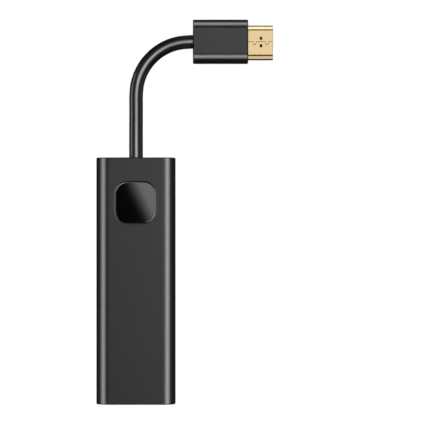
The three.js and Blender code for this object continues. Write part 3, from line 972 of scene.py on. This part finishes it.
    def front_cover(self) -> bpy.types.Object:
        """Builds the front cover, with the window's recess and aperture.

        Returns:
            The finished cover.
        """
        window_low, window_high = box_mm("front_window")
        size = window_high - window_low
        centre = (0, middle_mm("front_window").y)
        cover = self.outside().keep(self.half(self.parting, self.depth + PAST))
        lip_top = self.parting + self.lip_high + self.lip_gap
        cover.cut(self.hollow(), self.around_hollow(self.lip + self.lip_gap, self.wall, lip_top))
        gap = self.window_gap
        recess = rounded_rectangle(size.x + 2 * gap, size.y + 2 * gap, self.window_corner + gap, 24)
        floor = box_mm("window_adhesive")[0].z
        opening, corner = self.aperture
        aperture = rounded_rectangle(opening, opening, corner, 8)
        cover.cut(
            Workpiece.swept(recess, flared(floor, self.depth, self.recess_edge, PAST), Run.Z, centre),
            Workpiece.swept(aperture, [(0, self.wall), (0, self.depth + PAST)], Run.Z, centre),
            self.parting_groove(),
            *self.openings(),
        )
        return cover.finish("front_shell", "front_cover", CASE_PLASTIC, self.finishes)

    def rear_cover(self) -> bpy.types.Object:
        """Builds the rear cover, with its lip, bosses, vents and label recess.

        Returns:
            The finished cover.
        """
        cover = self.outside().keep(self.half(-PAST, self.parting))
        outer, inner = (self.parting - root for root in self.lip_root)
        cover.join(self.around_hollow(self.lip, outer, self.parting + self.lip_high))
        cover.cut(self.hollow(), self.around_hollow(0, inner, self.depth))
        self.add_posts(cover)
        label_low, label_high = box_mm("rating_label")
        size = label_high - label_low
        gap, deep = self.label_gap, self.label_deep
        recess = rounded_rectangle(size.x + 2 * gap, size.y + 2 * gap, self.label_corner + gap, 8)
        centre = (0, middle_mm("rating_label").y)
        cover.cut(Workpiece.swept(recess, flared(deep, 0, self.label_edge, -PAST), Run.Z, centre))
        slot = rounded_rectangle(*self.vent, 8)
        widens, edge = self.vent_mouth
        profile = [(0, self.wall + PAST), *flared(widens, 0, edge, -PAST)[1:]]
        first, pitch = self.vent_row
        for i in range(self.vents):
            cover.cut(Workpiece.swept(slot, profile, Run.Z, (0, first + pitch * i)))
        cover.cut(self.parting_groove(), *self.openings())
        return cover.finish("rear_shell", "rear_cover", CASE_PLASTIC, self.finishes)

    def add_posts(self, cover: Workpiece) -> None:
        """Adds the posts that hold the board and the cable clamp.

        Args:
            cover: The rear cover.
        """
        root = self.wall - self.post_root
        board, clamp = box_mm("main_board")[0].z, box_mm("cable_clamp")[0].z
        bosses = [(f"board_screw_{i}", self.board_post, board, self.wall) for i in (1, 2)]
        clamp_floor = clamp - self.clamp_hole
        bosses += [(f"clamp_screw_{i}", self.clamp_post, clamp, clamp_floor) for i in (1, 2)]
        for screw, radius, top, hole_floor in bosses:
            centre = tuple(middle_mm(screw).xy)
            cover.join(Workpiece.post(centre, radius, root, top))
            cover.cut(Workpiece.post(centre, self.screw_hole, hole_floor, top + PAST))
        for centre in self.rests:
            cover.join(Workpiece.post(centre, self.rest_post, root, board))

    def window(self) -> bpy.types.Object:
        """Builds the gloss window's plate, with a polished round edge.

        Returns:
            The finished plate.
        """
        low, high = box_mm("front_window")
        size = high - low
        outline = rounded_rectangle(size.x, size.y, self.window_corner, 24)
        edge, ease = self.window_edge, self.window_ease
        profile = [(-ease, low.z), (0, low.z + ease), *round_end(high.z, edge, edge)]
        plate = Workpiece.swept(outline, profile, Run.Z, (0, (low.y + high.y) / 2))
        return plate.finish("gloss_plate", "front_window", GLOSS_WINDOW, self.finishes)

    def button(self) -> bpy.types.Object:
        """Builds the side button's cap and the flange behind the wall.

        Returns:
            The finished button.
        """
        low, high = box_mm("reset_button")
        middle = middle_mm("reset_button")
        edge = self.cap_edge
        profile = [(0, high.x - self.cap_long), *round_end(high.x, edge, edge)]
        outline = rounded_rectangle(*self.cap, 10)
        cap = Workpiece.swept(outline, profile, Run.X, (middle.y, middle.z))
        thick, ease = self.flange
        flange = Workpiece.slab(tuple(low), (low.x + thick, high.y, high.z), ease)
        cap.join(flange)
        return cap.finish("side_button_cap", "reset_button", BUTTON_PLASTIC, self.finishes)

    def label(self) -> bpy.types.Object:
        """Builds the blank label, with its edge lightly rounded.

        Returns:
            The finished label.
        """
        low, high = box_mm("rating_label")
        size = high - low
        profile = edge_profile(low.z, high.z, 0.04, 0.04, 2)
        outline = rounded_rectangle(size.x, size.y, self.label_corner, 10)
        sheet = Workpiece.swept(outline, profile, Run.Z, (0, (low.y + high.y) / 2))
        return sheet.finish("blank_label", "rating_label", LABEL, self.finishes)

    def build(self) -> list[bpy.types.Object]:
        """Builds every piece of the casing."""
        return [self.front_cover(), self.rear_cover(), self.window(), self.button(), self.label()]


# ---- Lead and plug --------------------------------------------------------------------


@dataclass
class Lead:
    """The captive lead between the casing and the plug.

    Attributes:
        finishes: The player's finishes.
        route: The points of its middle line, in metres, from the casing to the plug.
        diameter: Its thickness.
        length: Its real length.
    """

    finishes: Finishes
    route: Sequence[Triple] = (
        (0, 0.0476, 0.007), (0, 0.051, 0.007), (0, 0.054, 0.007), (0, 0.057, 0.00695),
        (0, 0.060, 0.0068), (0, 0.0635, 0.00655), (0, 0.067, 0.0062), (0, 0.0707, 0.00585),
        (0, 0.0744, 0.0055), (0.00065, 0.0798, 0.0051), (0.0028, 0.0852, 0.0049),
        (0.00625, 0.0897, 0.00485), (0.01075, 0.09315, 0.00495), (0.016, 0.09525, 0.0052),
        (0.0216, 0.09595, 0.00545), (0.0241, 0.096, 0.0055),
    )
    diameter: float = 0.0055
    length: float = 0.0634

    def build(self, plug: Sequence[bpy.types.Object]) -> bpy.types.Object:
        """Args:
            plug: The pieces on the lead's far end. Not used.

        Returns:
            The lead.
        """
        curve = bpy.data.curves.new("captive_lead", "CURVE")
        curve.dimensions = "3D"
        curve.resolution_u = 16
        curve.bevel_depth = self.diameter / 2
        curve.bevel_resolution = 10
        curve.use_fill_caps = True
        line = curve.splines.new("BEZIER")
        line.bezier_points.add(len(self.route) - 1)
        for point, place in zip(line.bezier_points, self.route):
            point.co = place
            point.handle_left_type = point.handle_right_type = "AUTO"
        piece = bpy.data.objects.new("captive_lead", curve)
        bpy.context.scene.collection.objects.link(piece)
        curve.materials.append(self.finishes.of(LEAD_JACKET))
        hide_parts("lead")
        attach(piece, CASING)
        LOG.info("captive_lead: %.1f mm long", self.length / MM)
        return piece


@dataclass
class Plug:
    """The video plug: housing, inner moulding, metal shell, insert and contacts.

    Attributes:
        finishes: The player's finishes.
        fillet: The radius of the housing's long edges.
        wall: The housing's thickness.
        end_inset: How far the housing's outline draws in at its ends.
        end_run: The length of that rounding.
        shell_wall: The metal shell's thickness.
        shell_half: (half width, half height) of the metal shell.
        bevel: The half width at the top of the two cut corners, and the height where they start.
        latch: (size along the plug, size across it) of each latch window.
        latch_edges: (radius of a latch window's corners, radius of its edge).
        latch_place: The latch windows' place along the plug, and the distance from one to the
            middle of the two.
        latch_off: How far that middle is off the shell's middle.
        seam: The width of the open seam along the shell's top.
        seam_off: The seam's distance from the shell's middle.
        tabs: The places along the plug of the seam's two tabs.
        tab: (half width of the flat end, half width at the root, depth) of a tab.
        corner_starts: How far from each corner of the shell's outline its rounding starts.
        end_wall: The thickness of the housing's wall at the lead.
        lead_hole: The radius of the lead's opening in it.
        hole_edge: The radius of that opening's edge.
        centre: The housing's middle, across the plug and in height.
        shell_centre: The metal shell's middle, likewise.
    """

    finishes: Finishes
    fillet: float = 4.4
    wall: float = 1.0
    end_inset: float = 0.4
    end_run: float = 0.45
    shell_wall: float = 0.3
    shell_half: Pair = (6.95, 2.225)
    bevel: Pair = (5.15, 0.65)
    latch: Pair = (0.95, 1.2)
    latch_edges: Pair = (0.12, 0.03)
    latch_place: Pair = (50.15, 1.5)
    latch_off: float = 0.2
    seam: float = 0.17
    seam_off: float = 0.4
    tabs: Pair = (47.55, 52.6)
    tab: Triple = (0.35, 0.85, 1.25)
    corner_starts: tuple[float, ...] = (0.45, 0.45, 0.9, 0.38, 0.38, 0.9)
    end_wall: float = 1.4
    lead_hole: float = 3.0
    hole_edge: float = 0.2
    centre: Pair = field(init=False)
    shell_centre: Pair = field(init=False)

    def __post_init__(self) -> None:
        """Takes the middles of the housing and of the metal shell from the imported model."""
        self.centre = tuple(middle_mm("plug_housing").yz)
        self.shell_centre = tuple(middle_mm("plug_shell").yz)

    def housing(self) -> bpy.types.Object:
        """Builds the housing, a sleeve that is open at the front.

        Returns:
            The finished housing.
        """
        low, high = box_mm("plug_housing")
        size = high - low
        outline = rounded_rectangle(size.y, size.z, self.fillet, 28)
        profile = edge_profile(low.x, high.x, self.end_inset, self.end_run)
        sleeve = Workpiece.swept(outline, profile, Run.X, self.centre)
        inner = rounded_rectangle(
            size.y - 2 * self.wall, size.z - 2 * self.wall, self.fillet - self.wall, 16
        )
        inside = [(0, low.x + self.end_wall), (0, high.x + PAST)]
        hollow = Workpiece.swept(inner, inside, Run.X, self.centre)
        mouth = flared(low.x + 2 * self.end_wall, low.x, self.hole_edge, -PAST)
        hole = Workpiece.swept(circle(self.lead_hole), mouth, Run.X, self.centre)
        sleeve.cut(hollow, hole)
        return sleeve.finish("plug_sleeve", "plug_housing", CASE_PLASTIC, self.finishes)

    def outline(self, steps: int = 8) -> Outline:
        """The metal shell's outline, with its two bevelled corners.

        Args:
            steps: The steps in each corner.

        Returns:
            The outline, by offset.
        """
        (x, y), (top, start) = self.shell_half, self.bevel
        corners = [(-x, -y), (x, -y), (x, start), (top, y), (-top, y), (-x, start)]
        return rounded_polygon(corners, self.corner_starts, steps)

    def seam_path(self, front: float, back: float) -> list[Pair]:
        """The middle line of the shell's seam, with its two dovetailed tabs.

        Args:
            front: The shell's open end.
            back: Where the seam starts, inside the moulding.

        Returns:
            The line's points.
        """
        level = self.shell_centre[0] + self.seam_off
        flat, root, deep = self.tab
        line = [(back, level)]
        for tab in self.tabs:
            for i in range(-12, 13):
                along = root * i / 12
                rise = max(abs(along) - flat, 0) / (root - flat)
                line.append((tab + along, level - deep * (1 + math.cos(math.pi * rise)) / 2))
        return [*line, (front, level)]

    def seam_cutter(self, points: Sequence[Pair], top: float) -> Workpiece:
        """The ribbon that cuts the seam through the shell's top wall.

        Args:
            points: The seam's middle line.
            top: The height of the shell's top.

        Returns:
            The cutter.
        """
        half = self.seam / 2
        sides: tuple[list[Pair], list[Pair]] = ([], [])
        for i, point in enumerate(points):
            before, after = points[max(i - 1, 0)], points[min(i + 1, len(points) - 1)]
            along = (Vector(after) - Vector(before)).normalized()
            across = Vector((-along.y, along.x)) * half
            for side, way in zip(sides, (1, -1)):
                side.append(tuple(Vector(point) + across * way))
        ring = sides[0] + sides[1][::-1]
        heights = (top - 2 * self.shell_wall, top + PAST)
        rings = [[Vector((x, y, z)) for x, y in ring] for z in heights]
        return Workpiece.from_rings(rings)

    def shell(self) -> bpy.types.Object:
        """Builds the metal shell, with its latch windows, seam and rolled front edge.

        Returns:
            The finished shell.
        """
        low, high = box_mm("plug_shell")
        wall, lip = self.shell_wall, self.shell_wall / 2
        turns = [math.pi * i / 8 for i in range(9)]
        front = [(-lip + lip * math.cos(a), high.x - lip + lip * math.sin(a)) for a in turns]
        profile = [(0, low.x), *front, (-wall, low.x)]
        shell = Workpiece.swept(self.outline(), profile, Run.X, self.shell_centre, closed=True)
        top = high.z
        corner, edge = self.latch_edges
        window = rounded_rectangle(*self.latch, corner, 4)
        x, off = self.latch_place
        for side in (-1, 1):
            centre = (x, self.shell_centre[0] + self.latch_off + side * off)
            cutter = flared(top - 2 * wall, top, edge, PAST)
            shell.cut(Workpiece.swept(window, cutter, Run.Z, centre))
        shell.cut(self.seam_cutter(self.seam_path(high.x + PAST, low.x - PAST), top))
        return shell.finish("plug_metal_shell", "plug_shell", GOLD, self.finishes)

    def build(self) -> list[bpy.types.Object]:
        """Builds the plug.

        Returns:
            Every piece that is on the lead.
        """
        made = [self.housing(), self.shell()]
        inside = ("contact_", "plug_insert", "plug_inner")
        return made + [node for name, node in frame["nodes"].items() if name.startswith(inside)]


# ---- Studio ---------------------------------------------------------------------------


def receivers(
    name: str, pieces: Sequence[bpy.types.Object], state: str = "INCLUDE"
) -> bpy.types.Collection:
    """Makes the collection that says what a light shines on.

    Args:
        name: The collection's name.
        pieces: The pieces that it names.
        state: INCLUDE to light only those pieces, or EXCLUDE to light all but those.

    Returns:
        The collection.
    """
    made = bpy.data.collections.new(name)
    for piece in pieces:
        made.objects.link(piece)
    for member in made.collection_objects:
        member.light_linking.link_state = state
    return made


@dataclass(frozen=True)
class Softbox:
    """A rectangular studio light.

    Attributes:
        name: Its name.
        place: Its middle, in metres.
        size: Its face's size along its own X and Y, in metres.
        radiance: How bright its face is.
        turn: Its rotation, in degrees; without one it shines straight down.
    """

    name: str
    place: Triple
    size: Pair
    radiance: float
    turn: Triple = (0.0, 0.0, 0.0)

    def build(self, lit: bpy.types.Collection) -> bpy.types.Object:
        """Builds the light.

        Args:
            lit: The collection that says what it shines on.

        Returns:
            The light.
        """
        lamp = bpy.data.lights.new(self.name, "AREA")
        lamp.shape = "RECTANGLE"
        lamp.size, lamp.size_y = self.size
        lamp.energy = self.radiance * math.pi * self.size[0] * self.size[1]
        made = bpy.data.objects.new(self.name, lamp)
        bpy.context.scene.collection.objects.link(made)
        made.location = self.place
        made.rotation_euler = [math.radians(angle) for angle in self.turn]
        made.visible_camera = False
        made.light_linking.receiver_collection = lit
        return made


@dataclass(frozen=True)
class Arc:
    """A bank of strip lights side by side on an arc over the player.

    Attributes:
        name: The bank's name.
        way: The direction that the arc leans to, in degrees from +X towards +Y.
        length: The strips' length, in metres.
        strips: (lean from straight up in degrees, radiance) of each strip.
        radius: The arc's radius.
        step: The angle that one strip covers, in degrees.
        middle: The arc's middle.
    """

    name: str
    way: float
    length: float
    strips: tuple[Pair, ...]
    radius: float = 1.3
    step: float = 10.0
    middle: Triple = (0.03, 0.03, 0.01)

    def softboxes(self) -> list[Softbox]:
        """Works out the bank's lights.

        Returns:
            The lights.
        """
        made = []
        size = (2 * self.radius * math.tan(math.radians(self.step / 2)), self.length)
        along = Vector((math.cos(math.radians(self.way)), math.sin(math.radians(self.way)), 0))
        for lean, radiance in self.strips:
            angle = math.radians(lean)
            out = along * math.sin(angle) + Vector((0, 0, math.cos(angle)))
            place = Vector(self.middle) + out * self.radius
            turn = (0, lean, self.way)
            made.append(Softbox(f"{self.name}_{lean:.0f}", tuple(place), size, radiance, turn))
        return made


@dataclass
class Studio:
    """The floor, the soft lights and the camera.

    Attributes:
        across: The width of the view at the player, in metres.
        middle: The view's middle on the floor.
        distance: The camera's height over the middle of the player's thickness.
        level: The height of that middle.
        overhead: The height of the lights overhead.
        room_light: How bright the room is to everything but the camera.
        floor_light: The strength of the shadowless light on the floor.
        shadow_light: How bright the wide light is that gives the floor its soft shadows.
        bounce_light: How bright the floor's light is on the player's low faces.
    """

    across: float = 0.1727
    middle: Pair = (0.0317, 0.0264)
    distance: float = 1.2
    level: float = 0.0065
    overhead: float = 1.6
    room_light: float = 0.02
    floor_light: float = 2.95
    shadow_light: float = 0.4
    bounce_light: float = 0.015

    def floor(self) -> bpy.types.Object:
        """Builds the plain pale floor.

        Returns:
            The floor.
        """
        mesh = bmesh.new()
        bmesh.ops.create_grid(mesh, x_segments=8, y_segments=8, size=4.0)
        data = bpy.data.meshes.new("studio_floor")
        mesh.to_mesh(data)
        mesh.free()
        floor = bpy.data.objects.new("studio_floor", data)
        bpy.context.scene.collection.objects.link(floor)
        paper = bpy.data.materials.new("studio_paper")
        paper.use_nodes = True
        wiring = Wiring(paper.node_tree)
        shader = paper.node_tree.nodes["Principled BSDF"]
        shader.inputs["Roughness"].default_value = 0.9
        shader.inputs["Specular IOR Level"].default_value = 0.0
        fibre = wiring.add("ShaderNodeTexNoise", {"Scale": 400.0})
        wiring.drift(fibre, (0.93, 0.93, 0.93), (0.96, 0.96, 0.96), shader)
        data.materials.append(paper)
        floor.visible_glossy = False
        floor.visible_shadow = False
        return floor

    def side_lights(self) -> list[Softbox]:
        """The lights that draw the lines of gloss along the casing's long edges.

        Returns:
            The lights.
        """
        side = Arc("side_strip", 0, 1.2, (
            (-80, 1.25), (-70, 4.2), (-60, 6.7), (-50, 9.3), (-40, 3.4),
            (30, 7.6), (40, 9.7), (50, 8.9), (60, 6.5),
        ))
        return side.softboxes()

    def end_lights(self) -> list[Softbox]:
        """The lights that draw the lines of gloss along the plug's long edges.

        Returns:
            The lights.
        """
        end = Arc("end_strip", 90, 0.45, (
            (-60, 1.1), (-50, 10.6), (-40, 9.9), (-30, 9.9),
            (20, 0.9), (30, 0.8), (60, 3.1), (70, 9.6), (80, 7.9), (90, 2.9),
        ))
        return end.softboxes()

    def overhead_lights(self) -> list[Softbox]:
        """The lights that the casing's and the plug's flat faces answer.

        Returns:
            The lights.
        """
        h = self.overhead
        return [
            Softbox("overhead_near", (0.145, 0.0, h), (0.31, 0.4), 2.65),
            Softbox("overhead_far", (0.145, 0.4, h), (0.31, 0.4), 3.6),
        ]

    def lead_lights(self) -> list[Softbox]:
        """The lights that draw the line of gloss along the lead.

        Returns:
            The lights.
        """
        h = self.overhead
        side = Arc("lead_side_strip", 0, 1.2, ((-90, 2.2), (-80, 6.6), (-70, 0.8), (90, 2.2)))
        end = Arc("lead_end_strip", 90, 0.45, ((-90, 0.8), (-80, 0.8), (30, 5.6), (90, 1.5)))
        top = Softbox("lead_top", (0.25, 0.16, h), (1.0, 0.85), 14.5)
        return side.softboxes() + end.softboxes() + [top]

    def shell_lights(self) -> list[Softbox]:
        """The lights for the plug's metal shell.

        Returns:
            The lights.
        """
        end = Arc("shell_strip", 90, 0.45, ((-90, 0.95), (-80, 0.95), (80, 1.6), (90, 1.6)))
        top = Softbox("shell_top", (0.075, 0.19, self.overhead), (0.6, 0.5), 1.08)
        return end.softboxes() + self.low_lights("shell_low", (0, 45, 135), 0.7) + [top]

    def low_lights(self, name: str, ways: Sequence[float], radiance: float) -> list[Softbox]:
        """Wide lights low on both sides, which only shallow views see in a flat top.

        Args:
            name: The bank's name.
            ways: The directions that the lights stand in, in degrees from +X towards +Y.
            radiance: How bright they are.

        Returns:
            The lights.
        """
        strips = tuple((lean, radiance) for lean in (-75, -55, 55, 75))
        made = []
        for way in ways:
            made += Arc(f"{name}_{way:.0f}", way, 0.5, strips, step=20).softboxes()
        return made

    def bounce(self) -> list[Softbox]:
        """The light that comes back up from the pale floor, which the gloss of low faces shows."""
        place, size = (*self.middle, -0.3), (6.0, 6.0)
        return [Softbox("floor_bounce", place, size, self.bounce_light, (180, 0, 0))]

    def window_lights(self) -> list[Softbox]:
        """The light that shows in the gloss window, whose one edge fades away in strips.

        Returns:
            The lights.
        """
        turn, width, length = 25.7, 0.05, 0.24
        fade, strips, full = 0.0134, 8, 3.3
        start = Vector((-0.0464, 0.0399))
        across = Vector((math.cos(math.radians(turn)), math.sin(math.radians(turn))))
        made = []
        for i in range(strips):
            share = (i + 0.5) / strips
            place = (*(start + across * fade * share), self.overhead)
            size, radiance = (fade / strips, length), full * share ** 2
            made.append(Softbox(f"window_fade_{i}", place, size, radiance, (0, 0, turn)))
        place = (*(start + across * (fade + width / 2)), self.overhead)
        made.append(Softbox("window_light", place, (width, length), full, (0, 0, turn)))
        return made

    def rim_lights(self) -> list[Softbox]:
        """The two lights that the window's polished rim catches at opposite corners."""
        return Arc("rim", -49, 0.7, ((-28, 34), (28, 34)), step=16).softboxes()

    def light(self, pieces: dict[str, bpy.types.Object]) -> None:
        """Builds the lights, each bank with what it shines on.

        Args:
            pieces: The player's finished pieces, by name.
        """
        lead, window = pieces["captive_lead"], pieces["gloss_plate"]
        sleeve, shell = pieces["plug_sleeve"], pieces["plug_metal_shell"]
        floor = bpy.data.objects["studio_floor"]
        case_lit = receivers("case_lit", [lead, shell, sleeve, floor], "EXCLUDE")
        flats_lit = receivers("flats_lit", [lead, shell, floor, window], "EXCLUDE")
        banks = (
            (self.side_lights(), case_lit),
            (self.end_lights(), receivers("sleeve_lit", [sleeve])),
            (self.overhead_lights(), flats_lit),
            (self.bounce(), receivers("bounce_lit", [floor, shell], "EXCLUDE")),
            (self.paper_lights(), receivers("paper_lit", [floor])),
            (self.lead_lights(), receivers("lead_lit", [lead])),
            (self.shell_lights(), receivers("shell_lit", [shell])),
            (self.window_lights(), receivers("window_lit", [window])),
            (self.rim_lights(), receivers("rim_lit", [window])),
            (self.low_lights("low", (45, 135), 3.2), flats_lit),
        )
        for boxes, lit in banks:
            for box in boxes:
                box.build(lit)
        down = bpy.data.lights.new("floor_light", "SUN")
        down.energy = self.floor_light
        down.use_shadow = False
        lamp = bpy.data.objects.new("floor_light", down)
        bpy.context.scene.collection.objects.link(lamp)
        lamp.location = (0, 0, self.overhead)
        lamp.light_linking.receiver_collection = receivers("floor_lit", [floor])

    def paper_lights(self) -> list[Softbox]:
        """The wide light that gives the floor its soft shadows."""
        return [Softbox("paper_light", (*self.middle, self.overhead), (3.0, 3.0), self.shadow_light)]

    def surroundings(self) -> None:
        """Makes the room, which is white to look at and dark to light by."""
        world = bpy.data.worlds.new("studio_room")
        bpy.context.scene.world = world
        world.use_nodes = True
        wiring = Wiring(world.node_tree)
        dim, out = world.node_tree.nodes["Background"], world.node_tree.nodes["World Output"]
        dim.inputs["Color"].default_value = (1, 1, 1, 1)
        dim.inputs["Strength"].default_value = self.room_light
        white = wiring.add("ShaderNodeBackground", {"Color": (1, 1, 1, 1)})
        rays = wiring.add("ShaderNodeLightPath")
        choice = wiring.add("ShaderNodeMixShader")
        wiring.link(rays.outputs["Is Camera Ray"], choice.inputs[0])
        wiring.link(dim.outputs[0], choice.inputs[1])
        wiring.link(white.outputs[0], choice.inputs[2])
        wiring.link(choice.outputs[0], out.inputs["Surface"])

    def camera(self) -> bpy.types.Object:
        """Builds the camera, which looks straight down with +Y up.

        Returns:
            The camera.
        """
        lens = bpy.data.cameras.new("camera")
        lens.sensor_width = 36.0
        lens.lens = lens.sensor_width * self.distance / self.across
        lens.clip_end = 50.0
        made = bpy.data.objects.new("camera", lens)
        bpy.context.scene.collection.objects.link(made)
        made.location = (*self.middle, self.distance + self.level)
        bpy.context.scene.camera = made
        return made

    def build(self) -> None:
        """Builds the camera, the floor and the room."""
        self.camera()
        self.floor()
        self.surroundings()
        scene = bpy.context.scene
        scene.view_settings.view_transform = "Standard"
        scene.view_settings.look = "None"


def main() -> None:
    """Builds the studio, then the player's pieces, and reports each one."""
    logging.basicConfig(level=logging.INFO, format="%(message)s")
    studio = Studio()
    studio.build()
    finishes = Finishes()
    plug = Plug(finishes).build()
    pieces = [*plug, Lead(finishes).build(plug), *Casing(finishes).build()]
    finishes.dress_nodes()
    studio.light({piece.name: piece for piece in pieces})


if __name__ == "__main__":
    main()
